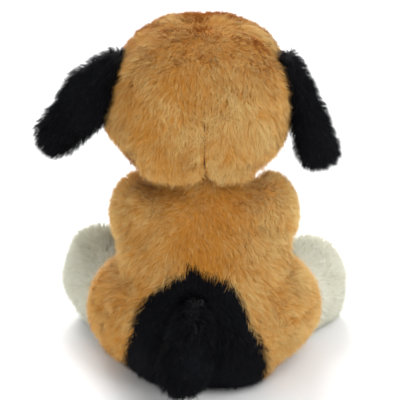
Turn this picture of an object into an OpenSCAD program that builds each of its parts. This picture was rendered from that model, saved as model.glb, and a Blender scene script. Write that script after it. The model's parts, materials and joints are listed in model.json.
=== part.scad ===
// Plush dog, sitting, about 25 cm tall, built as a sewn toy is: fur fabric panels round a
// polyester filling, with safety eyes and nose held by washers, and limbs that flex at their seams.
// Millimetres. +Z up, the dog faces -Y, its left is +X. Origin on the floor under the seat.

/* [Fabric] */
// Thickness of the fur fabric, its backing and the pile as it lies
pile_t = 4; // [3:0.5:5]
// Free space between a panel and the filling behind it
fill_gap = 0.3; // [0.2:0.1:0.5]
// Free space between two pieces that move on each other at a seam
seam_gap = 0.4; // [0.3:0.1:0.8]

/* [Head] */
// Half width of the crown
crown_w = 54; // [51:1:56]
// Height of the crown's centre above the floor
crown_z = 196; // [194:1:200]
// How much further the crown stands out on the left than on the right
crown_shift = 2; // [0:0.5:3]
// Half width of the head at the cheeks
cheek_w = 57; // [54:1:60]
// Height of the cheeks' centre above the floor
cheek_z = 180; // [179:1:183]
// How much further the cheeks stand out on the left than on the right
cheek_shift = 3; // [0:0.5:4]
// How far forward the muzzle reaches
muzzle_reach = 82; // [78:1:86]
// Diameter of an eye
eye_d = 13; // [11:1:15]
// Width of the nose
nose_w = 19; // [16:1:22]

/* [Body] */
// Half width of the chest
chest_w = 43; // [40:1:46]
// Height of the chest's centre above the floor
chest_z = 111; // [109:1:113]
// Half depth of the seat, front to back
seat_d = 51; // [49:1:52]
// Where the legs are sewn on, measured from the middle
hip_x = 44; // [43:1:46]
// Where the arms are sewn on, measured from the middle
shoulder_x = 40; // [39:1:41]
// Radius of the stuffed neck
neck_r = 24; // [22:1:25]

/* [Limbs] */
// Half width of the left hind paw
paw_w_left = 22; // [18:1:23]
// Half width of the right hind paw
paw_w_right = 24; // [20:1:25]
// Height of the left hind paw, which stands a little taller
paw_h_left = 68; // [62:1:72]
// Height of the right hind paw, whose filling has settled
paw_h_right = 60; // [54:1:66]
// Thickness of an ear at its root
ear_t = 14; // [11:1:14]
// Width of the tail
tail_w = 32; // [28:1:34]

/* [Hidden] */
$fn = 24;
exact_fn = 64;
far = 400;
pivot_neck = [0, -2, 138];
pivot_shoulder = [shoulder_x, -7, chest_z];
pivot_hip = [hip_x, -6, 38];
pivot_tail = [6, 61, 70];
pivot_ear_left = [57, 6, 217];
pivot_ear_right = [-52.5, 6, 217];
tail_root_r = 9;
tail_plug_r = 5;
arm_seat_r = 60;
arm_toe_in = 15;
wrist = 50;
skull_y = -2;
crown_r = 44;
cheek_r = 40;
back_seam_y = 8;
face_bottom_z = 153;
chin_z = 161;
mouth_z = 165;
mouth_top_z = 167.6;
mouth_w = 20;
blaze_half_w = 9;
blaze_top_y = -28;
belly_y = -20;
seat_z = 5;
thigh_top = 76;
thigh_z_left = 41;
thigh_z_right = 44;
ankle_at = [60, -41];
foot_at = [75, -84];
foot_turn = 18;
paw_z_left = 34;
paw_z_right = 24;
eye_pos = [24, -49, 189.5];
eye_turn = 18;
eye_lift = -8;
nose_pos = [0, 2.2 - muzzle_reach, 176];
shaft_r = 2;
eye_washer_r = 7;
nose_washer_r = 5;
washer_t = 1.6;
thread_w = 1.8;
thread_t = 0.9;
pellet_bag_z = 30;
SIDES = ["left", "right"];

TAN = [0.74, 0.52, 0.26];
CREAM = [0.88, 0.88, 0.80];
BLACK = [0.06, 0.06, 0.07];
FILLING = [0.95, 0.95, 0.93];
THREAD = [0.12, 0.09, 0.08];
PLASTIC = [0.03, 0.03, 0.03];
WASHER = [0.90, 0.90, 0.88];
PELLETS = [0.80, 0.82, 0.84];
POUCH = [0.86, 0.84, 0.78];

// Ellipsoid at c with half axes r, made smaller by t on every side
module egg(c, r, t = 0) {
    translate(c) scale([r[0] - t, r[1] - t, r[2] - t]) sphere(r = 1);
}

// Everything with x, y or z above or below a value
module above_x(x) { translate([x, -far, -far]) cube([far, 2 * far, 2 * far]); }
module below_x(x) { translate([x - far, -far, -far]) cube([far, 2 * far, 2 * far]); }
module above_y(y) { translate([-far, y, -far]) cube([2 * far, far, 2 * far]); }
module below_y(y) { translate([-far, y - far, -far]) cube([2 * far, far, 2 * far]); }
module above_z(z) { translate([-far, -far, z]) cube([2 * far, 2 * far, far]); }
module below_z(z) { translate([-far, -far, z - far]) cube([2 * far, 2 * far, far]); }

// The left side is drawn, and the right side is its mirror image
module on_side(side) {
    if (side == "left") children();
    else mirror([1, 0, 0]) children();
}

module half(side) {
    intersection() {
        children();
        if (side == "left") above_x(0);
        else below_x(0);
    }
}

module neck_ball(extra = 0) {
    translate(pivot_neck) sphere(r = neck_r + extra, $fn = exact_fn);
}

// ---------- Torso ----------

module torso_blank(t) {
    hull() {
        egg([0, -4, chest_z], [chest_w, 39, 28], t);
        for (side = [-1, 1]) egg([side * 18, 6, 40], [40, seat_d, 44], t);
    }
}

module torso_form(t = 0) {
    difference() {
        intersection() {
            torso_blank(t);
            above_z(t);
            above_x(-hip_x + t);
            below_x(hip_x - t);
        }
        for (side = SIDES) on_side(side) arm_seat(t);
    }
}

// The flat round place that an arm is sewn to
module arm_seat(t) {
    place_arm() translate([-t, 0, 0]) rotate([0, 90, 0])
        cylinder(r = arm_seat_r + t, h = 40, $fn = exact_fn);
}

module torso_shell() {
    difference() {
        torso_form();
        torso_form(pile_t);
        neck_ball(seam_gap);
    }
}

// Outline of the black patch, seen from behind
module patch_prism() {
    translate([0, 20, 0]) rotate([-90, 0, 0]) linear_extrude(height = 60)
        polygon([[9, -96], [13, -88], [20, -85], [27, -79], [36, -70], [42, -58], [51, -30], [51, 9],
            [-40, 9], [-39, -30], [-36, -43], [-28, -57], [-19, -80], [-15, -86], [3, -90]]);
}

module back_panel(side) {
    color(TAN) half(side) difference() {
        intersection() {
            torso_shell();
            above_y(belly_y);
            above_z(seat_z);
        }
        patch_prism();
    }
}

module rump_patch() {
    color(BLACK) difference() {
        intersection() {
            torso_shell();
            patch_prism();
            above_z(seat_z);
        }
        tail_root_ball(seam_gap);
    }
}

module belly_panel() {
    color(CREAM) intersection() {
        torso_shell();
        below_y(belly_y);
        above_z(seat_z);
    }
}

module seat_panel() {
    color(BLACK) intersection() {
        torso_shell();
        below_z(seat_z);
    }
}

module pouch_form(t = 0) {
    intersection() {
        egg([0, 3, pellet_bag_z - 4], [34, 34, 24], t);
        above_z(pile_t + 2 + t);
    }
}

module torso_filling() {
    color(FILLING) difference() {
        torso_form(pile_t + fill_gap);
        pouch_form(-fill_gap);
        neck_ball(seam_gap);
        tail_root_ball(seam_gap);
    }
}

module pellet_pouch() {
    color(POUCH) difference() {
        pouch_form();
        pouch_form(1);
    }
}

module pellet_fill() {
    color(PELLETS) pouch_form(1 + fill_gap);
}

// ---------- Head ----------

module neck_plug() {
    color(FILLING) neck_ball();
}

module skull_form(t = 0) {
    hull() {
        for (side = [-1, 1]) {
            egg([crown_shift + side * (crown_w - crown_r), skull_y, crown_z], [crown_r, 50, 45], t);
            egg([cheek_shift + side * (cheek_w - cheek_r), skull_y, cheek_z], [cheek_r, 44, 37], t);
            egg([cheek_shift + side * 18, 4, 160], [23, 34, 17], t);
        }
    }
}

module muzzle_form(t = 0) {
    hull() {
        egg([0, 22 - muzzle_reach, 167], [24, 22, 20], t);
        egg([0, -32, 168], [31, 22, 24], t);
    }
}

module skull_shell() {
    difference() {
        skull_form();
        skull_form(pile_t);
        ear_sockets(seam_gap);
    }
}

module head_back(side) {
    color(TAN) half(side) intersection() {
        skull_shell();
        above_y(back_seam_y);
        above_z(face_bottom_z);
    }
}

module blaze_zone() {
    intersection() {
        translate([-blaze_half_w, -far, 165]) cube([2 * blaze_half_w, far, far]);
        below_y(blaze_top_y);
    }
}

module face_panel(side) {
    color(TAN) half(side) difference() {
        intersection() {
            skull_shell();
            below_y(back_seam_y);
            above_z(face_bottom_z);
        }
        muzzle_form();
        blaze_zone();
        for (s = SIDES) on_side(s) eye_shaft(0.1);
    }
}

module blaze_panel() {
    color(CREAM) difference() {
        intersection() {
            skull_shell();
            blaze_zone();
        }
        muzzle_form();
    }
}

module head_base_panel() {
    color(TAN) difference() {
        intersection() {
            skull_shell();
            below_z(face_bottom_z);
        }
        muzzle_form();
        neck_ball(seam_gap);
    }
}

module muzzle_shell() {
    difference() {
        muzzle_form();
        muzzle_form(pile_t);
        skull_form(pile_t);
        neck_ball(seam_gap);
    }
}

module muzzle_panel() {
    color(CREAM) difference() {
        intersection() {
            muzzle_shell();
            above_z(chin_z);
        }
        nose_shaft(0.1);
    }
}

module chin_panel() {
    color(CREAM) intersection() {
        muzzle_shell();
        below_z(chin_z);
    }
}

module head_filling() {
    color(FILLING) difference() {
        union() {
            skull_form(pile_t + fill_gap);
            muzzle_form(pile_t + fill_gap);
        }
        neck_ball(seam_gap);
        ear_sockets(seam_gap + fill_gap);
        for (s = SIDES) on_side(s) {
            eye_shaft(fill_gap);
            eye_washer_at(fill_gap);
        }
        nose_shaft(fill_gap);
        nose_washer_at(fill_gap);
    }
}

// An eye is a glossy dome on a ribbed shaft. Its own +Z points out of the face.
module place_eye() {
    translate(eye_pos) rotate([90 - eye_lift, 0, eye_turn]) children();
}

module eye_dome() {
    rotate_extrude($fn = exact_fn)
        intersection() {
            scale([1, 0.62]) circle(r = eye_d / 2, $fn = exact_fn);
            translate([0, -0.01]) square([eye_d, eye_d]);
        }
}

module eye_shaft(extra = 0) {
    place_eye() translate([0, 0, -15]) cylinder(r = shaft_r + extra, h = 16, $fn = exact_fn);
}

module eye(side) {
    color(PLASTIC) on_side(side) {
        place_eye() translate([0, 0, 0.6]) eye_dome();
        eye_shaft();
    }
}

module eye_washer_at(extra = 0) {
    place_eye() translate([0, 0, -9 - extra])
        cylinder(r = eye_washer_r + extra, h = washer_t + 2 * extra, $fn = exact_fn);
}

module eye_washer(side) {
    color(WASHER) on_side(side) difference() {
        eye_washer_at();
        eye_shaft(0.05);
    }
}

module nose_shaft(extra = 0) {
    translate(nose_pos) rotate([-90, 0, 0]) cylinder(r = shaft_r + extra, h = 16, $fn = exact_fn);
}

module nose_washer_at(extra = 0) {
    translate(nose_pos) rotate([-90, 0, 0]) translate([0, 0, 13 - extra])
        cylinder(r = nose_washer_r + extra, h = washer_t + 2 * extra, $fn = exact_fn);
}

module nose() {
    color(PLASTIC) {
        difference() {
            hull() {
                for (side = [-1, 1]) translate(nose_pos + [side * (nose_w / 2 - 5), -1, 2]) sphere(r = 5);
                translate(nose_pos + [0, -1, -4]) sphere(r = 4);
            }
            muzzle_form();
        }
        nose_shaft();
    }
}

module nose_washer() {
    color(WASHER) difference() {
        nose_washer_at();
        nose_shaft(0.05);
    }
}

// The mouth is embroidered in satin stitch: a raised line down from the nose that forks to both sides
module mouth_stitching() {
    color(THREAD) difference() {
        intersection() {
            muzzle_form(-thread_t);
            translate([0, -40, 0]) rotate([90, 0, 0]) linear_extrude(height = 60) mouth_outline();
        }
        muzzle_form();
    }
}

module mouth_outline() {
    translate([-thread_w / 2, mouth_z]) square([thread_w, mouth_top_z - mouth_z]);
    for (side = [0, 1]) mirror([side, 0])
        polygon([[-thread_w / 2, mouth_z + 1], [mouth_w / 2, mouth_z - 6],
            [mouth_w / 2, mouth_z - 6 - thread_w], [0, mouth_z - thread_w]]);
}

// ---------- Ears ----------

// The round root of each ear sits in a dimple high on the side of the head
module ear_sockets(extra) {
    translate(pivot_ear_left) sphere(r = ear_t / 2 + extra, $fn = exact_fn);
    translate(pivot_ear_right) sphere(r = ear_t / 2 + extra, $fn = exact_fn);
}

// A flap of an ear, trimmed to lie against the side of the head
module ear_form(pivot) {
    translate(pivot) sphere(r = ear_t / 2);
    difference() {
        hull() {
            translate(pivot) sphere(r = ear_t / 2);
            children();
        }
        skull_form(-2 * seam_gap);
    }
}

// The dog's left ear is sewn on along its edge and stands out from the head
module ear_left_form() {
    ear_form(pivot_ear_left) {
        egg([64, 6, 188], [9, 6, 9]);
        egg([76, 6, 203], [10, 6, 10]);
        egg([95, 5, 167], [13, 7, 14]);
    }
}

// The dog's right ear hangs closer
module ear_right_form() {
    ear_form(pivot_ear_right) {
        egg([-62, 6, 196], [8, 6, 10]);
        egg([-72.5, 5, 159], [13, 7, 14]);
    }
}

// The fur piece of an ear is its back half, the lining its front half
module ear_outer(mid_y) {
    color(BLACK) intersection() {
        children();
        above_y(mid_y);
    }
}

module ear_lining(mid_y) {
    color(BLACK) intersection() {
        children();
        below_y(mid_y);
    }
}

// ---------- Arms ----------

// An arm's own +X points out from the body, and the seam plane is its YZ plane
module place_arm() {
    translate(pivot_shoulder) rotate([0, 0, -arm_toe_in]) children();
}

module arm_form(t = 0) {
    intersection() {
        hull() {
            egg([0, 0, 0], [19, 24, 24], t);
            egg([2, -17, -17], [17, 19, 18], t);
            egg([15.5, -66, -43], [15, 16, 16], t);
        }
        above_x(seam_gap + t);
    }
}

module arm_shell() {
    difference() {
        arm_form();
        arm_form(pile_t);
    }
}

module arm_sleeve(side) {
    color(TAN) on_side(side) place_arm() intersection() {
        arm_shell();
        above_y(-wrist);
    }
}

module arm_paw(side) {
    color(CREAM) on_side(side) place_arm() intersection() {
        arm_shell();
        below_y(-wrist);
    }
}

module arm_filling(side) {
    color(FILLING) on_side(side) place_arm() arm_form(pile_t + fill_gap);
}

// ---------- Legs ----------

function thigh_z(side) = side == "left" ? thigh_z_left : thigh_z_right;
function paw_w(side) = side == "left" ? paw_w_left : paw_w_right;
function paw_h(side) = side == "left" ? paw_h_left : paw_h_right;
function paw_z(side) = side == "left" ? paw_z_left : paw_z_right;

module leg_middle(t) {
    egg([58, -46, 25], [14, 20, 25.5], t);
}

// A foot's own -Y points along its leg, away from the hip
module place_foot(at, z = 0) {
    translate([at[0], at[1], z]) rotate([0, 0, foot_turn]) children();
}

module foot_end(side, t) {
    place_foot(foot_at, paw_z(side)) egg([0, 0, 0], [paw_w(side), 15, paw_h(side) - paw_z(side)], t);
}

module leg_form(side, t = 0) {
    intersection() {
        union() {
            hull() {
                egg([pivot_hip[0], pivot_hip[1], thigh_z(side)], [28, 42, thigh_top - thigh_z(side)], t);
                leg_middle(t);
            }
            hull() {
                leg_middle(t);
                foot_end(side, t);
            }
        }
        above_x(hip_x + seam_gap + t);
        above_z(t);
    }
}

module leg_shell(side) {
    difference() {
        leg_form(side);
        leg_form(side, pile_t);
    }
}

// The cream cloth of a foot starts at a seam round the ankle
module foot_zone() {
    place_foot(ankle_at) below_y(0);
}

// The sole closes the front of a hind paw
module sole_zone() {
    place_foot(foot_at) below_y(-6);
}

module leg_thigh(side) {
    color(TAN) on_side(side) difference() {
        leg_shell(side);
        foot_zone();
    }
}

module leg_foot(side) {
    color(CREAM) on_side(side) difference() {
        intersection() {
            leg_shell(side);
            foot_zone();
        }
        sole_zone();
    }
}

module leg_sole(side) {
    color(CREAM) on_side(side) intersection() {
        leg_shell(side);
        sole_zone();
    }
}

module leg_filling(side) {
    color(FILLING) on_side(side) leg_form(side, pile_t + fill_gap);
}

// ---------- Tail ----------

module tail_root_ball(extra = 0) {
    translate(pivot_tail) sphere(r = tail_root_r + extra, $fn = exact_fn);
}

module tail_plug_ball(extra = 0) {
    translate(pivot_tail) sphere(r = tail_plug_r + extra, $fn = exact_fn);
}

module tail_form(t = 0) {
    hull() {
        translate(pivot_tail) sphere(r = tail_root_r - t);
        egg([9, 75, 51], [13, 12, 14], t);
        egg([14, 75, 31], [tail_w / 2, 12, 14], t);
    }
}

module tail_root_plug() {
    color(FILLING) tail_plug_ball();
}

module tail_cover() {
    color(BLACK) difference() {
        tail_form();
        tail_form(pile_t);
        tail_plug_ball(seam_gap);
    }
}

module tail_filling() {
    color(FILLING) difference() {
        tail_form(pile_t + fill_gap);
        tail_plug_ball(seam_gap);
    }
}

// ---------- Nodes ----------

back_panel("left");  // back_panel_left
back_panel("right");  // back_panel_right
rump_patch();
belly_panel();
seat_panel();
torso_filling();
pellet_pouch();
pellet_fill();
neck_plug();
head_back("left");  // head_back_left
head_back("right");  // head_back_right
face_panel("left");  // face_panel_left
face_panel("right");  // face_panel_right
blaze_panel();
head_base_panel();
muzzle_panel();
chin_panel();
head_filling();
eye("left");  // eye_left
eye("right");  // eye_right
eye_washer("left");  // eye_washer_left
eye_washer("right");  // eye_washer_right
nose();
nose_washer();
mouth_stitching();
ear_outer(5.5) ear_left_form();  // ear_left_outer
ear_lining(5.5) ear_left_form();  // ear_left_lining
ear_outer(5) ear_right_form();  // ear_right_outer
ear_lining(5) ear_right_form();  // ear_right_lining
arm_sleeve("left");  // arm_left_sleeve
arm_paw("left");  // arm_left_paw
arm_filling("left");  // arm_left_filling
arm_sleeve("right");  // arm_right_sleeve
arm_paw("right");  // arm_right_paw
arm_filling("right");  // arm_right_filling
leg_thigh("left");  // leg_left_thigh
leg_foot("left");  // leg_left_foot
leg_sole("left");  // leg_left_sole
leg_filling("left");  // leg_left_filling
leg_thigh("right");  // leg_right_thigh
leg_foot("right");  // leg_right_foot
leg_sole("right");  // leg_right_sole
leg_filling("right");  // leg_right_filling
tail_root_plug();
tail_cover();
tail_filling();
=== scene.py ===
"""The looks of the sitting plush dog: inflated skins, fur, face, light and camera.

Lengths are metres in the CAD's frame: +Z up, the dog faces -Y, its own left is +X.
"""

import json
import math

import bmesh
import bpy
import numpy as np
from mathutils import Matrix, Vector
from mathutils.bvhtree import BVHTree
from mathutils.kdtree import KDTree


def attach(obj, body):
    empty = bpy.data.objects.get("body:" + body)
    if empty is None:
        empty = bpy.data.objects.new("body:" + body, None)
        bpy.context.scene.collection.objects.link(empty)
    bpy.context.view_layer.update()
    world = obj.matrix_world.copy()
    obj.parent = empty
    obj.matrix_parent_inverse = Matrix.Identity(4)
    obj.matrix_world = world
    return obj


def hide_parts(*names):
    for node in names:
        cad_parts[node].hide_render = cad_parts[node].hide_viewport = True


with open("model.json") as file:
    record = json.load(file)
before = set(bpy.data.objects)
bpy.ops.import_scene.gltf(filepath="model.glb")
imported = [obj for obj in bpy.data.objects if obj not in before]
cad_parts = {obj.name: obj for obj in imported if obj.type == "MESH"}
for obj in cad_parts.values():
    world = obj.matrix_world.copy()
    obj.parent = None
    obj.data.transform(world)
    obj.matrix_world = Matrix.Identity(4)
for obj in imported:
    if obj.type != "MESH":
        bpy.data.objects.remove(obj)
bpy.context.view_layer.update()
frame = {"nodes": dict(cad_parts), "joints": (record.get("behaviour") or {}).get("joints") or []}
SCENE = bpy.context.scene
NODES = frame["nodes"]
MM = 0.001
SIDES = ("left", "right")
TAN, CREAM, BLACK = 0, 1, 2
rng = np.random.default_rng(7)


# ---------- Small helpers ----------

def smoothstep(low, high, value):
    """0 below low, 1 above high, with a smooth rise between them."""
    t = np.clip((value - low) / (high - low), 0, 1)
    return t * t * (3 - 2 * t)


def bell(distance, width):
    """1 at no distance, falling smoothly to nothing past about twice the width."""
    return np.exp(-(distance / width) ** 2)


def unit(v):
    return v / np.maximum(np.linalg.norm(v, axis=-1, keepdims=True), 1e-9)


def heading(p, x, y, z):
    """A unit vector for each point of p. Each part is one number, or one value a point."""
    return unit(np.column_stack([np.broadcast_to(part, len(p)) for part in (x, y, z)]))


WAVES = 5


def wavy(p, size, seed):
    """Smooth random 3-vectors about 0, one for each point of p, with features about size across."""
    draws = np.random.default_rng(seed)
    total = np.zeros((len(p), 3))
    for _ in range(WAVES):
        wave = unit(draws.normal(size=3)) * 2 * math.pi / (size * draws.uniform(1.2, 2.4))
        phase = draws.uniform(0, 2 * math.pi, 3)
        total += np.sin((p @ wave)[:, None] + phase)
    return total / WAVES ** 0.5


def ripple(p, size, seed):
    """One smooth random value about 0 for each point of p."""
    return wavy(p, size, seed)[:, 0]


def joint_at(name):
    joint = next(j for j in frame["joints"] if j["name"] == name)
    return np.array(joint["pos_m"])


def vectors(items, name):
    """One vector for each item of a Blender collection, such as each vertex's place."""
    flat = np.empty(len(items) * 3, dtype=np.float32)
    items.foreach_get(name, flat)
    return flat.reshape(-1, 3).astype(float)


def positions(mesh):
    return vectors(mesh.vertices, "co")


def set_positions(mesh, places):
    mesh.vertices.foreach_set("co", places.astype(np.float32).ravel())
    mesh.update()


def add_object(name, mesh):
    obj = bpy.data.objects.new(name, mesh)
    SCENE.collection.objects.link(obj)
    return obj


# ---------- Materials ----------

def new_material(name):
    material = bpy.data.materials.new(name)
    material.use_nodes = True
    tree = material.node_tree
    return material, tree, tree.nodes["Principled BSDF"]


def ramp(tree, source, dark, light, start=0.0, end=1.0):
    """A colour that goes from dark to light as source goes from start to end."""
    node = tree.nodes.new("ShaderNodeValToRGB")
    for element, place, colour in zip(node.color_ramp.elements, (start, end), (dark, light)):
        element.position = place
        element.color = (*colour, 1)
    tree.links.new(source, node.inputs["Fac"])
    return node.outputs["Color"]


def mixed(tree, a, b, factor):
    """A colour that goes from a to b as factor goes from 0 to 1. All three are sockets."""
    node = tree.nodes.new("ShaderNodeMix")
    node.data_type = "RGBA"
    for name, source in (("A", a), ("B", b)):
        socket = next(s for s in node.inputs if s.name == name and s.type == "RGBA")
        tree.links.new(source, socket)
    tree.links.new(factor, node.inputs["Factor"])
    return next(s for s in node.outputs if s.type == "RGBA")


def noise(tree, size, detail):
    """Noise over the object with features about size across."""
    place = tree.nodes.new("ShaderNodeTexCoord")
    node = tree.nodes.new("ShaderNodeTexNoise")
    node.inputs["Scale"].default_value = 1 / size
    node.inputs["Detail"].default_value = detail
    tree.links.new(place.outputs["Object"], node.inputs["Vector"])
    return node.outputs["Fac"]


def add_bump(tree, bsdf, height, strength, distance):
    bump = tree.nodes.new("ShaderNodeBump")
    bump.inputs["Strength"].default_value = strength
    bump.inputs["Distance"].default_value = distance
    tree.links.new(height, bump.inputs["Height"])
    tree.links.new(bump.outputs["Normal"], bsdf.inputs["Normal"])


def fur_material(name, roots, tips, rough, sheen, shine=0.12):
    """Fur whose strands run from a root colour to a tip colour.

    Both colours are pairs, for the darkest and the lightest strands. Each strand has its own tone in
    U and its place from root to tip in V.
    """
    material, tree, bsdf = new_material(name)
    uv = tree.nodes.new("ShaderNodeUVMap")
    uv.uv_map = FUR_UV
    split = tree.nodes.new("ShaderNodeSeparateXYZ")
    tree.links.new(uv.outputs["UV"], split.inputs["Vector"])
    tone, along = split.outputs["X"], split.outputs["Y"]
    colour = mixed(tree, ramp(tree, tone, *roots), ramp(tree, tone, *tips), along)
    tree.links.new(colour, bsdf.inputs["Base Color"])
    bsdf.inputs["Roughness"].default_value = rough
    bsdf.inputs["Sheen Weight"].default_value = sheen
    bsdf.inputs["Sheen Roughness"].default_value = 0.6
    bsdf.inputs["Specular IOR Level"].default_value = shine
    return material


def backing_material(name, dark, light, size=3 * MM):
    """The woven backing with the fur's roots, seen only between strands."""
    material, tree, bsdf = new_material(name)
    grain = noise(tree, size, detail=6)
    colour = ramp(tree, grain, dark, light, start=0.35, end=0.65)
    tree.links.new(colour, bsdf.inputs["Base Color"])
    bsdf.inputs["Roughness"].default_value = 0.9
    add_bump(tree, bsdf, grain, strength=0.5, distance=0.4 * MM)
    return material


def plastic(name, colour, rough, coat=0.6, grain_size=None):
    """Moulded plastic with a clear coat. It is smooth unless it has a grain size."""
    material, tree, bsdf = new_material(name)
    grain = noise(tree, grain_size or 2 * MM, detail=2)
    light = tuple(min(1, part * 1.6 + 0.004) for part in colour)
    shade = ramp(tree, grain, colour, light, start=0.4, end=0.6)
    tree.links.new(shade, bsdf.inputs["Base Color"])
    bsdf.inputs["Roughness"].default_value = rough
    bsdf.inputs["Coat Weight"].default_value = coat
    bsdf.inputs["Coat Roughness"].default_value = 0.08
    bsdf.inputs["Specular IOR Level"].default_value = 0.25
    if grain_size:
        add_bump(tree, bsdf, grain, strength=0.35, distance=0.2 * MM)
    return material


FUR_UV = "OFBake"
FUR = [
    fur_material("tan fur", roots=((0.56, 0.220, 0.022), (0.62, 0.365, 0.085)),
                 tips=((0.61, 0.255, 0.028), (0.80, 0.625, 0.290)), rough=0.8, sheen=0.06),
    fur_material("cream fur", roots=((0.60, 0.59, 0.43), (0.74, 0.735, 0.60)),
                 tips=((0.69, 0.68, 0.535), (0.85, 0.85, 0.77)), rough=0.8, sheen=0.04),
    fur_material("black fur", roots=((0.001, 0.001, 0.0015), (0.002, 0.002, 0.003)),
                 tips=((0.001, 0.0012, 0.002), (0.009, 0.010, 0.015)), rough=0.6, sheen=0.0,
                 shine=0.08),
]
BACKING = [
    backing_material("tan backing", (0.58, 0.250, 0.035), (0.68, 0.350, 0.080)),
    backing_material("cream backing", (0.50, 0.49, 0.34), (0.64, 0.63, 0.48)),
    backing_material("black backing", (0.002, 0.002, 0.003), (0.006, 0.006, 0.008)),
]


# ---------- Which coat grows where ----------

# The black patch's outline across the back and thighs, as x and z in mm.
PATCH = [(9, 96), (13, 88), (20, 85), (27, 79), (36, 70), (42, 58), (51, 30), (51, -9),
         (-40, -9), (-39, 30), (-36, 43), (-28, 57), (-19, 80), (-15, 86), (3, 90)]
ANKLE = np.array([60, -41]) * MM
FOOT_TURN = math.radians(18)
CUFF_Y = -56 * MM


def inside(outline, x, z):
    """Which points lie inside a closed outline, by crossings."""
    hit = np.zeros(len(x), dtype=bool)
    for (x1, z1), (x2, z2) in zip(outline, outline[1:] + outline[:1]):
        if z1 == z2:
            continue
        crosses = (z1 > z) != (z2 > z)
        hit ^= crosses & (x < (x2 - x1) * (z - z1) / (z2 - z1) + x1)
    return hit


def coat_torso(p):
    x, y, z = (p / MM).T
    belly = (y < -20) & (np.abs(x) < 46)
    seat = (z < 4) & (np.abs(x) < 44)
    rump = (y > 8) & inside(PATCH, x, z)
    coat = np.full(len(p), TAN)
    coat[belly] = CREAM
    coat[seat | rump] = BLACK
    return coat


def coat_head(p):
    x, y, z = (p / MM).T
    blaze = (np.abs(x) < 9) & (y < -28) & (z > 165)
    muzzle = (y < -46) & (z < 186) & (np.abs(x) < 30)
    under = (y < -24) & (z < 160) & ((x / 29) ** 2 + ((z - 168) / 25) ** 2 < 1.05)
    return np.where(blaze | muzzle | under, CREAM, TAN)


def coat_arm(p):
    return np.where(p[:, 1] < CUFF_Y, CREAM, TAN)


def coat_leg(p):
    aside = np.abs(p[:, 0]) - ANKLE[0]
    behind = p[:, 1] - ANKLE[1]
    foot = behind * math.cos(FOOT_TURN) - aside * math.sin(FOOT_TURN) < 0
    x, y, z = (p / MM).T
    coat = np.where(foot, CREAM, TAN)
    coat[(y > 0) & inside(PATCH, x, z)] = BLACK
    return coat


def coat_all(colour):
    """The coat of a body that is one colour all over."""
    return lambda p: np.full(len(p), colour)


# ---------- Which way the fur lies ----------

CROWN = np.array([0, 12, 250]) * MM
NOSE = np.array([0, -84, 176]) * MM


def lie_head(p):
    """Behind the ears, away from the crown, back and down. On the face, away from the nose."""
    back = unit(p - CROWN)
    back[:, 1] += 0.5 * smoothstep(190 * MM, 230 * MM, p[:, 2])
    back[:, 2] -= 0.7
    face = unit(p - NOSE)
    face[:, 2] += 0.1
    share = smoothstep(-22 * MM, 8 * MM, p[:, 1])[:, None]
    return unit(back * share + face * (1 - share))


def lie_torso(p):
    outward = np.clip(p[:, 0] * 12, -0.6, 0.6)
    return heading(p, outward, 0, -1)


def lie_arm(p):
    return heading(p, np.sign(p[:, 0]) * 0.2, -0.8, -0.8)


def lie_leg(p):
    """Down over the thigh, and forward to the toes along the foot."""
    back = smoothstep(-60 * MM, 10 * MM, p[:, 1])
    outward = np.sign(p[:, 0]) * (0.25 + 0.3 * back)
    return heading(p, outward, -0.9 + 0.7 * back, -0.25 - 0.7 * back)


def lie_ear(p):
    """Down each ear. The left one stands out further."""
    outward = np.where(p[:, 0] > 0, 0.75, -0.3)
    return heading(p, outward, 0, -1)


def lie_tail(p):
    return heading(p, 0.15, 0, -1)


# ---------- Seams: lines where the fabric is drawn in ----------
#
# Each function gives every point's distance to a seam that parts the fur, and to one that only
# creases it.

NO_SEAM = 1.0
BACK_SEAM_Y = 8 * MM
SEAM_FADE = 12 * MM
DART_START = np.array([55, 52]) * MM
DART_END = np.array([71, 49]) * MM


def seam_none(p):
    nowhere = np.full(len(p), NO_SEAM)
    return nowhere, nowhere


def seam_head(p):
    """Parted down the middle of the back, fading towards the top, and creased from ear to ear."""
    x, y, z = p.T
    faded = SEAM_FADE * smoothstep(192 * MM, 212 * MM, z)
    middle = np.where(y > BACK_SEAM_Y, np.abs(x) + faded, NO_SEAM)
    over = np.abs(y - BACK_SEAM_Y)
    return middle, over


def seam_thigh(p):
    """Creased by a short dart across the back of each thigh."""
    seen_from_behind = np.column_stack([np.abs(p[:, 0]), p[:, 2]])
    dart = DART_END - DART_START
    along = np.clip((seen_from_behind - DART_START) @ dart / (dart @ dart), 0, 1)
    gap = np.linalg.norm(seen_from_behind - DART_START - along[:, None] * dart, axis=1)
    nowhere = np.full(len(p), NO_SEAM)
    return nowhere, np.where(p[:, 1] > 0, gap, nowhere)


# ---------- Skins ----------

PRESSURE = 4
CLOTH_FRAMES = 20
MOST_SWELLING = 2.5 * MM
PARTING_DEPTH = 3.0 * MM
PARTING_WIDTH = 1.8 * MM
CREASE_DEPTH = 2.4 * MM
CREASE_WIDTH = 2.6 * MM
LUMPS = 0.45 * MM
SKIN_FLOOR = 0.3 * MM


def freeze(obj):
    """Replaces obj's mesh by what its modifiers make of it."""
    deps = bpy.context.evaluated_depsgraph_get()
    mesh = bpy.data.meshes.new_from_object(obj.evaluated_get(deps))
    obj.modifiers.clear()
    obj.data = mesh


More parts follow.
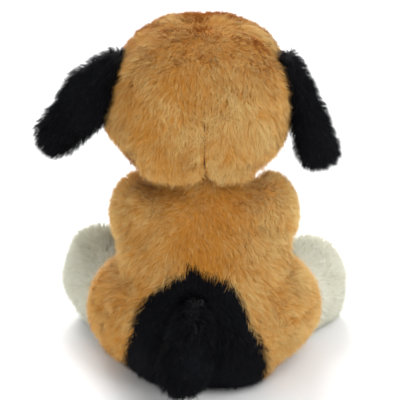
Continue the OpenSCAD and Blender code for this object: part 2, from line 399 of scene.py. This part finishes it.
def keep_largest(obj):
    """Drops the closed bubbles that a remesh leaves inside a form."""
    bm = bmesh.new()
    bm.from_mesh(obj.data)
    seen = set()
    islands = []
    for start in bm.verts:
        if start in seen:
            continue
        island = [start]
        seen.add(start)
        for vert in island:
            for edge in vert.link_edges:
                other = edge.other_vert(vert)
                if other not in seen:
                    seen.add(other)
                    island.append(other)
        islands.append(island)
    largest = max(islands, key=len)
    for island in islands:
        if island is not largest:
            bmesh.ops.delete(bm, geom=island, context="VERTS")
    bm.to_mesh(obj.data)
    bm.free()


def skin_blank(name, nodes, voxel, pads=()):
    """One closed mesh round some sewn and stuffed nodes, with rounded pads that fill its creases."""
    bm = bmesh.new()
    for node in nodes:
        bm.from_mesh(NODES[node].data)
    for middle, radii in pads:
        place = Matrix.LocRotScale(Vector(middle), None, Vector(radii))
        bmesh.ops.create_icosphere(bm, subdivisions=3, radius=1, matrix=place)
    mesh = bpy.data.meshes.new(name)
    bm.to_mesh(mesh)
    bm.free()
    obj = add_object(name, mesh)
    remesh = obj.modifiers.new("voxels", "REMESH")
    remesh.mode = "VOXEL"
    remesh.voxel_size = voxel
    smooth = obj.modifiers.new("even", "SMOOTH")
    smooth.factor = 0.5
    smooth.iterations = 4
    freeze(obj)
    keep_largest(obj)
    return obj


def inflate(objects):
    """Blows the skins up with a short cloth simulation, and keeps each point near its place."""
    before = {}
    for obj in objects:
        before[obj] = positions(obj.data)
        cloth = obj.modifiers.new("Cloth", "CLOTH")
        cloth.settings.quality = 5
        cloth.settings.mass = 0.3
        cloth.settings.use_pressure = True
        cloth.settings.uniform_pressure_force = PRESSURE
        cloth.settings.effector_weights.gravity = 0
        cloth.collision_settings.use_collision = False
        cloth.point_cache.frame_start = 1
        cloth.point_cache.frame_end = CLOTH_FRAMES
    for number in range(1, CLOTH_FRAMES + 1):
        SCENE.frame_set(number)
    for obj in objects:
        freeze(obj)
        move = positions(obj.data) - before[obj]
        move -= move.mean(axis=0)
        length = np.linalg.norm(move, axis=1, keepdims=True)
        move *= np.minimum(1, MOST_SWELLING / np.maximum(length, 1e-9))
        set_positions(obj.data, before[obj] + move)
    SCENE.frame_set(1)


def refine(obj):
    finer = obj.modifiers.new("finer", "SUBSURF")
    finer.levels = 1
    finer.render_levels = 1
    freeze(obj)


def draw_in(obj, seam):
    """Pulls the skin in along its seams, makes it a little lumpy and keeps it above the floor."""
    places = positions(obj.data)
    normals = vectors(obj.data.vertices, "normal")
    parting, crease = seam(places)
    depth = PARTING_DEPTH * bell(parting, PARTING_WIDTH) + CREASE_DEPTH * bell(crease, CREASE_WIDTH)
    places -= normals * depth[:, None]
    places += normals * (LUMPS * wavy(places, 16 * MM, seed=11)[:, :1])
    places[:, 2] = np.maximum(places[:, 2], SKIN_FLOOR)
    set_positions(obj.data, places)


def dress(obj, coat):
    """Gives each face of a skin the backing of the coat that grows there."""
    for material in BACKING:
        obj.data.materials.append(material)
    faces = obj.data.polygons
    faces.foreach_set("material_index", coat(vectors(faces, "center")))
    faces.foreach_set("use_smooth", np.ones(len(faces), dtype=bool))


# ---------- Fur ----------

STRANDS_PER_M2 = 3.3e6
PIECE_STRANDS = 60000
STRAND_WIDTH = 0.28 * MM
BEND_TAPER = 0.75
ROOT_DEPTH_MM = 0.4
BARE_SEAM = 0.8 * MM
COAT_BLUR = 1.0 * MM
FUR_FLOOR = 0.4 * MM
FLYAWAYS = 0.07

# A strand rises from the skin by RISE radians. These turn it, against a body's lie of length 1.
RISE = 0.85
TUFT = 0.27
TUFT_SIZE = 9.0 * MM
SWIRL = 0.30
SWIRL_SIZE = 26 * MM
CLUMP_LEAN = 0.26
STRAY_LEAN = 0.30
DROOP = np.array([0, 0, -0.12])

# Strands gather to their clump's leader: a little at the bend, and more at the tip.
CLUMP_STRANDS = 8
GATHER_BEND = 0.25
GATHER_TIP = 0.6

# A strand is a quad and a triangle on five corners: two at the root, two at the bend and the tip.
CORNERS = 5
CORNER_ORDER = np.array([0, 1, 3, 2, 2, 3, 4])
FACE_STARTS = np.array([0, 4])
CORNER_SIDES = np.array([-1, 1, 1, -1, -1, 1, 0])
CORNER_HEIGHTS = np.array([0.02, 0.02, 0.5, 0.5, 0.5, 0.5, 0.98])


def sample(mesh, density):
    """Points spread over a mesh, so many a square metre, with their normals."""
    mesh.calc_loop_triangles()
    flat = np.empty(len(mesh.loop_triangles) * 3, dtype=np.int32)
    mesh.loop_triangles.foreach_get("vertices", flat)
    triangles = flat.reshape(-1, 3)
    places = positions(mesh)
    normals = vectors(mesh.vertices, "normal")
    a, b, c = (places[triangles[:, i]] for i in range(3))
    area = np.linalg.norm(np.cross(b - a, c - a), axis=1) / 2
    count = int(area.sum() * density)
    pick = np.searchsorted(np.cumsum(area) / area.sum(), rng.random(count))
    u, v = rng.random(count), rng.random(count)
    flip = u + v > 1
    u[flip], v[flip] = 1 - u[flip], 1 - v[flip]
    weights = np.column_stack([1 - u - v, u, v])[:, :, None]
    corners = triangles[pick]
    p = (places[corners] * weights).sum(axis=1)
    n = (normals[corners] * weights).sum(axis=1)
    return p, unit(n)


def uncovered(p, n, others, touch=1.5 * MM, deep=3 * MM):
    """Which points are neither well inside another body's skin nor pressed against it."""
    free = np.ones(len(p), dtype=bool)
    for low, high, tree in others:
        near = free & np.all((p > low - touch) & (p < high + touch), axis=1)
        for i in np.flatnonzero(near):
            at, facing, _, far = tree.ray_cast(Vector(p[i]), Vector(n[i]), 0.1)
            if at is None:
                continue
            leaving = facing.dot(Vector(n[i])) > 0
            buried = leaving and far > deep
            pressed = not leaving and far < touch
            free[i] = not (buried or pressed)
    return free


def clumps(p, size):
    """Gathers points into clumps of about size, each round a randomly picked leader.

    Returns for each point its leader's index in p and its clump's number.
    """
    picked = rng.choice(len(p), max(1, len(p) // size), replace=False)
    tree = KDTree(len(picked))
    for number, leader in enumerate(picked):
        tree.insert(Vector(p[leader]), number)
    tree.balance()
    nearest = np.fromiter((tree.find(Vector(point))[1] for point in p), dtype=int, count=len(p))
    return picked[nearest], nearest


def strand_tones(p, style, parting, crease, shared):
    """How pale each strand is, with painted shade: darker in a seam's groove and along a crease, and a
    little paler beside a parting.
    """
    tone = style["tone"](p) + 0.05 * ripple(p, TUFT_SIZE, seed=9) + 0.17 * shared
    tone += rng.normal(0, 0.15, len(p))
    # Painted shade: strands darkened in a parting's groove and along a crease, where shade falls.
    tone += 0.15 * bell(parting, 6.0 * MM) - 0.45 * bell(parting, 1.6 * MM)
    tone -= 0.28 * bell(crease, 1.8 * MM)
    return np.clip(tone, 0.02, 0.98)


def strand_corners(root, bend, tip, along, n, stray, half):
    """Five corners round each strand's middle line, and the way its blade faces: off the skin."""
    across = unit(np.cross(along, n + 0.5 * stray))
    facing = unit(np.cross(across, along))
    outward = np.sign(np.sum(facing * n, axis=1, keepdims=True) + 1e-9)
    wide = across * outward * half
    narrow = wide * BEND_TAPER
    corners = np.stack([root - wide, root + wide, bend - narrow, bend + narrow, tip], axis=1)
    corners[:, :, 2] = np.maximum(corners[:, :, 2], FUR_FLOOR)
    return corners, facing * outward


def comb(p, n, style):
    """The shape of each strand at roots p on a skin with normals n.

    Returns five corners, a shading normal and a tone for each. A strand follows its body's lie,
    tufts and swirls that vary over the skin, its clump, and a little chance of its own.
    """
    count = len(p)
    leader, clump = clumps(p, CLUMP_STRANDS)
    shared = np.random.default_rng(13).normal(size=(clump.max() + 1, 5))[clump]
    stray = unit(rng.normal(size=(count, 3)))
    parting, crease = style["seam"](p)
    side = np.sign(p[:, 0])
    beside = bell(parting, 3.0 * MM)[:, None]
    parted = np.column_stack([0.35 * side, n[:, 1], n[:, 2]])
    n = unit(n * (1 - beside) + parted * beside)

    swirl = TUFT * wavy(p, TUFT_SIZE, seed=3) + SWIRL * wavy(p, SWIRL_SIZE, seed=8)
    swirl *= 1 - 0.8 * beside
    lie = style["lie"](p) + swirl + CLUMP_LEAN * shared[:, :3] + STRAY_LEAN * stray
    lie[:, 0] += 0.5 * side * bell(parting, 5.0 * MM)
    lie = unit(lie - n * np.sum(lie * n, axis=1, keepdims=True))

    length = style["length"](p) * rng.uniform(0.7, 1.15, count)
    rise = RISE + 0.14 * ripple(p, TUFT_SIZE * 0.8, seed=5) + 0.14 * shared[:, 3]
    rise += rng.normal(0, 0.10, count)
    flyaway = rng.random(count) < FLYAWAYS
    rise[flyaway] += 0.35
    length[flyaway] *= 1.15
    rise -= 0.30 * bell(parting, 4.0 * MM)
    rise = np.clip(rise, 0.12, 1.3)
    tone = strand_tones(p, style, parting, crease, shared[:, 4])

    up = np.sin(rise)[:, None]
    flat = np.cos(rise)[:, None]
    first = unit(n * up + lie * flat)
    second = unit(n * up * 0.5 + lie * flat + DROOP + 0.25 * stray)
    step = length[:, None] / 2
    gather = p[leader] - p
    root = p - n * ROOT_DEPTH_MM * MM
    bend = root + first * step + gather * GATHER_BEND
    tip = root + (first + second) * step + gather * GATHER_TIP
    half = STRAND_WIDTH / 2 * rng.uniform(0.7, 1.3, count)[:, None]
    half[flyaway] *= 0.6
    corners, facing = strand_corners(root, bend, tip, first, n, stray, half)
    shade = unit(n * style["soft"] + facing * (1 - style["soft"]))
    return corners, shade, tone


def blades(name, corners, shade, tone, coat):
    """One mesh of tapered blades. U holds a blade's tone, V runs from its root to its tip."""
    count = len(corners)
    each = np.arange(count)[:, None]
    loops = len(CORNER_ORDER)
    order = (each * CORNERS + CORNER_ORDER).ravel()
    starts = (each * loops + FACE_STARTS).ravel()
    mesh = bpy.data.meshes.new(name)
    mesh.vertices.add(count * CORNERS)
    mesh.vertices.foreach_set("co", corners.astype(np.float32).ravel())
    mesh.loops.add(count * loops)
    mesh.loops.foreach_set("vertex_index", order.astype(np.int32))
    mesh.polygons.add(len(starts))
    mesh.polygons.foreach_set("loop_start", starts.astype(np.int32))
    mesh.polygons.foreach_set("material_index", np.repeat(coat, 2).astype(np.int32))
    mesh.polygons.foreach_set("use_smooth", np.ones(len(starts), dtype=bool))
    mesh.update(calc_edges=True)
    uv = mesh.uv_layers.new(name=FUR_UV)
    u_at = tone[:, None] + 0.003 * CORNER_SIDES
    v_at = np.broadcast_to(CORNER_HEIGHTS, (count, loops))
    uv.data.foreach_set("uv", np.stack([u_at, v_at], axis=2).astype(np.float32).ravel())
    mesh.normals_split_custom_set_from_vertices(np.repeat(shade, CORNERS, axis=0).tolist())
    for material in FUR:
        mesh.materials.append(material)
    return add_object(name, mesh)


def grow(skin, body, style, others):
    """Grows a body's fur on its skin, in pieces of a handy size."""
    density = STRANDS_PER_M2 / 1
    p, n = sample(skin.data, density)
    free = uncovered(p, n, others)
    parting, _ = style["seam"](p)
    free &= parting > BARE_SEAM
    p, n = p[free], n[free]
    coat = style["coat"](p + rng.normal(0, COAT_BLUR, p.shape))
    corners, shade, tone = comb(p, n, style)
    pieces = max(1, math.ceil(len(p) / PIECE_STRANDS))
    for k in range(pieces):
        part = slice(k, None, pieces)
        fur = blades(f"{body}_fur_{k + 1}", corners[part], shade[part], tone[part], coat[part])
        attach(fur, body)


# ---------- How pale the fur is, from 0 to 1, and how long ----------

def tone_head(p):
    x, y, z = (p / MM).T
    top = smoothstep(190, 242, z)
    fringe = smoothstep(20, 40, y) * (1 - smoothstep(150, 185, z))
    tone = 0.50 - 0.04 * top + 0.12 * fringe + 0.13 * ripple(p, 26 * MM, seed=21)
    # Painted shade: darker towards the dog's left (+X), the side the key light does not face.
    return tone - 0.16 * smoothstep(-45, 50, x)


def tone_torso(p):
    x, _, z = (p / MM).T
    middle = bell(x, 34) * smoothstep(60, 105, z)
    shoulder = smoothstep(28, 46, np.abs(x)) * smoothstep(80, 105, z)
    tone = 0.52 - 0.38 * middle + 0.16 * shoulder + 0.12 * ripple(p, 22 * MM, seed=22)
    # Painted shade: darker towards the dog's left (+X), the side the key light does not face.
    return tone - 0.12 * smoothstep(-40, 50, x)


def tone_limb(p):
    x, y, _ = (p / MM).T
    # Painted shade: darker towards the dog's left (+X) on the backs of thighs and sleeves, the side the
    # key light does not face.
    shaded = smoothstep(-40, 50, x) * smoothstep(-60, -20, y)
    return 0.54 + 0.13 * ripple(p, 20 * MM, seed=23) - 0.14 * shaded


def tone_arm(p):
    return tone_limb(p) + 0.12


def tone_black(p):
    return 0.36 + 0.24 * ripple(p, 14 * MM, seed=24)


def long_all_over(p):
    return np.full(len(p), 8.0 * MM)


def long_on_head(p):
    """Short on the face and muzzle, longest in the fringe low on the back of the head."""
    _, y, z = (p / MM).T
    length = 3.2 + 4.8 * smoothstep(-50, -15, y)
    fringe = 3.0 * smoothstep(5, 25, y) * (1 - smoothstep(150, 172, z))
    return (length + fringe) * MM


def long_on_leg(p):
    """Short on the sole."""
    return (3.0 + 5.0 * smoothstep(-96, -80, p[:, 1] / MM)) * MM


# ---------- The bodies ----------

NECK = joint_at("head_turn")
NECK_RADIUS = 25 * MM
LEFT_CHEEK = ((40 * MM, 0, 176 * MM), (23 * MM, 28 * MM, 18 * MM))
SHOULDER_BAR = ((0, 2 * MM, 113 * MM), (58 * MM, 26 * MM, 26.5 * MM))
HIP_LIFTS = {"left": 4, "right": 7}


def swelling(joint, outward, behind, above, radii):
    """A pad beside a joint. All but the joint is in mm, and outward is away from the middle."""
    offset = np.array([np.sign(joint[0]) * outward, behind, above])
    return joint + offset * MM, tuple(radius * MM for radius in radii)


def torso_pads():
    """The filling swells round the neck, shoulders and hips, so that the back runs into the limbs."""
    pads = [(NECK, (NECK_RADIUS,) * 3), SHOULDER_BAR]
    for side in SIDES:
        pads.append(swelling(joint_at(f"arm_{side}_swing"), 1, 8, 0, (15, 20, 23)))
    for side, lift in HIP_LIFTS.items():
        hip = joint_at(f"leg_{side}_lift")
        pads.append(swelling(hip, 1, 13, lift, (24, 35, 36 - lift)))
        pads.append(swelling(hip, -2, 12, 48, (15, 22, 20)))
    return pads


def body_style(nodes, voxel, coat, lie, tone, length=long_all_over, seam=seam_none, soft=0.6, pads=()):
    """What a body's skin is made from and how its fur looks.

    voxel is the skin's mesh size in mm. soft is how far the fur is shaded as one surface, from 0 to 1.
    """
    return dict(nodes=nodes, voxel=voxel * MM, coat=coat, lie=lie, tone=tone, length=length,
                seam=seam, soft=soft, pads=pads)


BODIES = {
    "torso": body_style(
        ["back_panel_left", "back_panel_right", "rump_patch", "belly_panel", "seat_panel",
         "torso_filling", "pellet_pouch", "pellet_fill"],
        4.5, coat_torso, lie_torso, tone_torso, seam=seam_thigh, pads=torso_pads()),
    "head": body_style(
        ["head_back_left", "head_back_right", "face_panel_left", "face_panel_right", "blaze_panel",
         "head_base_panel", "muzzle_panel", "chin_panel", "head_filling"],
        4.5, coat_head, lie_head, tone_head, length=long_on_head, seam=seam_head, pads=[LEFT_CHEEK]),
    "tail": body_style(
        ["tail_cover", "tail_filling"], 4.0, coat_all(BLACK), lie_tail, tone_black, soft=0.5),
}
for side in SIDES:
    BODIES[f"ear_{side}"] = body_style(
        [f"ear_{side}_outer", f"ear_{side}_lining"],
        3.0, coat_all(BLACK), lie_ear, tone_black, soft=0.5)
    BODIES[f"arm_{side}"] = body_style(
        [f"arm_{side}_{part}" for part in ("sleeve", "paw", "filling")],
        4.0, coat_arm, lie_arm, tone_arm)
    BODIES[f"leg_{side}"] = body_style(
        [f"leg_{side}_{part}" for part in ("thigh", "foot", "sole", "filling")],
        4.0, coat_leg, lie_leg, tone_limb, length=long_on_leg, seam=seam_thigh)


def make_skins():
    skins = {}
    for body, style in BODIES.items():
        skins[body] = skin_blank(f"{body}_skin", style["nodes"], style["voxel"], style["pads"])
    inflate(list(skins.values()))
    for body, style in BODIES.items():
        skin = skins[body]
        refine(skin)
        draw_in(skin, style["seam"])
        dress(skin, style["coat"])
        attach(skin, body)
        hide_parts(*style["nodes"])
    return skins


def search_trees(skins):
    """For each skin, its lowest and highest corners and a tree for casting rays at it."""
    trees = {}
    for body, skin in skins.items():
        places = positions(skin.data)
        faces = [tuple(face.vertices) for face in skin.data.polygons]
        tree = BVHTree.FromPolygons([tuple(place) for place in places], faces)
        trees[body] = (places.min(axis=0), places.max(axis=0), tree)
    return trees


skins = make_skins()
trees = search_trees(skins)
for body, style in BODIES.items():
    others = [tree for name, tree in trees.items() if name != body]
    grow(skins[body], body, style, others)


# ---------- Neck and tail root ----------

def stuffing_ball(node, body, colour):
    """The bit of stuffed cloth that flexes at a seam."""
    ball = skin_blank(f"{body}_skin", [node], 2.0 * MM)
    dress(ball, coat_all(colour))
    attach(ball, body)
    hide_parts(node)


stuffing_ball("neck_plug", "neck", TAN)
stuffing_ball("tail_root_plug", "tail_root", BLACK)


# ---------- Seam down the back of the head ----------

SEAM_TOP_Z = 202 * MM
SEAM_FOOT_Z = 148 * MM
SEAM_POINTS = 18
SEAM_TAPER_POINTS = 3
SEAM_WIDTH = 1.4 * MM
SEAM_HEIGHT = 0.9 * MM
STITCH_BUMP = 0.15 * MM
SEAM_SINK = 0.6 * MM


def seam_profile(k):
    """Half widths and heights across the seam's edge at its k-th point from the top."""
    half = SEAM_WIDTH / 2 * math.sqrt(max(0.05, min(1, k / SEAM_TAPER_POINTS)))
    ridge = SEAM_HEIGHT + STITCH_BUMP * (-1) ** k
    return [(-half, -SEAM_SINK), (-half * 0.7, ridge * 0.6), (0, ridge),
            (half * 0.7, ridge * 0.6), (half, -SEAM_SINK)]


def head_seam(tree, material):
    """The edge of fabric that shows between the two back panels: a ridged band in the groove, coloured
    dark brown as painted shade of the groove.
    """
    spine = []
    for z in np.linspace(SEAM_TOP_Z, SEAM_FOOT_Z, SEAM_POINTS):
        at, facing, _, _ = tree.ray_cast(Vector((0, 0.2, z)), Vector((0, -1, 0)))
        if at is not None:
            spine.append((at, facing))
    bm = bmesh.new()
    rows = []
    for k, (at, facing) in enumerate(spine):
        rows.append([bm.verts.new(at + Vector((x, 0, 0)) + facing * out) for x, out in seam_profile(k)])
    for above, below in zip(rows, rows[1:]):
        for j in range(len(above) - 1):
            bm.faces.new((above[j], below[j], below[j + 1], above[j + 1]))
    mesh = bpy.data.meshes.new("head_seam")
    bm.to_mesh(mesh)
    bm.free()
    for face in mesh.polygons:
        face.use_smooth = True
    mesh.materials.append(material)
    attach(add_object("head_seam", mesh), "head")


# Painted shade: the seam's band is much darker than the tan backing. The dark colour stands in for the
# shade in the groove.
seam_edge_shade = backing_material("seam edge painted shade", (0.100, 0.040, 0.010), (0.200, 0.090, 0.025), size=1 * MM)
head_seam(trees["head"][2], seam_edge_shade)


# ---------- Face ----------

def paint(material, *nodes):
    """Gives CAD nodes that show as they are their material."""
    for node in nodes:
        NODES[node].data.materials.clear()
        NODES[node].data.materials.append(material)


paint(plastic("eye plastic", (0.006, 0.004, 0.003), 0.08, coat=0.35), "eye_left", "eye_right")
paint(plastic("nose plastic", (0.006, 0.006, 0.007), 0.32, coat=0.25, grain_size=0.7 * MM), "nose")
paint(plastic("embroidery thread", (0.03, 0.02, 0.018), 0.6, grain_size=0.5 * MM), "mouth_stitching")
paint(plastic("washer plastic", (0.75, 0.75, 0.72), 0.45),
      "eye_washer_left", "eye_washer_right", "nose_washer")


# ---------- Floor, light and camera ----------

FLOOR_SIZE = 8
LIGHT_AIM = (0, 0, 0.12)
LIGHT_SIZE = 1.2
SKY_STRENGTH = 0.73
CAMERA_BACK = 1.3
CAMERA_RISE = math.radians(21)
CAMERA_AIM = Vector((3, 0, 120)) * MM
VIEW_WIDTH = 0.262
SENSOR_WIDTH_MM = 36


def stage_floor():
    bpy.ops.mesh.primitive_plane_add(size=FLOOR_SIZE, location=(0, 0, 0))
    floor = bpy.context.object
    floor.name = "floor"
    material, _, bsdf = new_material("floor")
    bsdf.inputs["Base Color"].default_value = (0.93, 0.93, 0.93, 1)
    bsdf.inputs["Roughness"].default_value = 0.9
    floor.data.materials.append(material)


def area_light(name, place, power):
    """A soft white light aimed at the middle of the dog."""
    data = bpy.data.lights.new(name, "AREA")
    data.size = LIGHT_SIZE
    data.energy = power
    light = add_object(name, data)
    light.location = place
    light.rotation_euler = (Vector(place) - Vector(LIGHT_AIM)).to_track_quat("Z", "Y").to_euler()


def white_world():
    world = bpy.data.worlds.new("studio")
    world.use_nodes = True
    background = world.node_tree.nodes["Background"]
    background.inputs["Color"].default_value = (1, 1, 1, 1)
    background.inputs["Strength"].default_value = SKY_STRENGTH
    SCENE.world = world
    SCENE.view_settings.view_transform = "Standard"


def add_camera():
    """A long lens from straight behind the dog and above it."""
    camera = add_object("camera", bpy.data.cameras.new("camera"))
    away = Vector((0, math.cos(CAMERA_RISE), math.sin(CAMERA_RISE)))
    camera.location = CAMERA_AIM + away * CAMERA_BACK
    camera.rotation_euler = away.to_track_quat("Z", "Y").to_euler()
    camera.data.sensor_width = SENSOR_WIDTH_MM
    camera.data.lens = SENSOR_WIDTH_MM * CAMERA_BACK / VIEW_WIDTH
    SCENE.camera = camera


stage_floor()
area_light("key", (-0.9, 1.1, 1.5), 23.5)
area_light("fill", (1.3, 0.9, 0.8), 3)
area_light("front", (0.3, -1.5, 1.1), 38)
white_world()
add_camera()
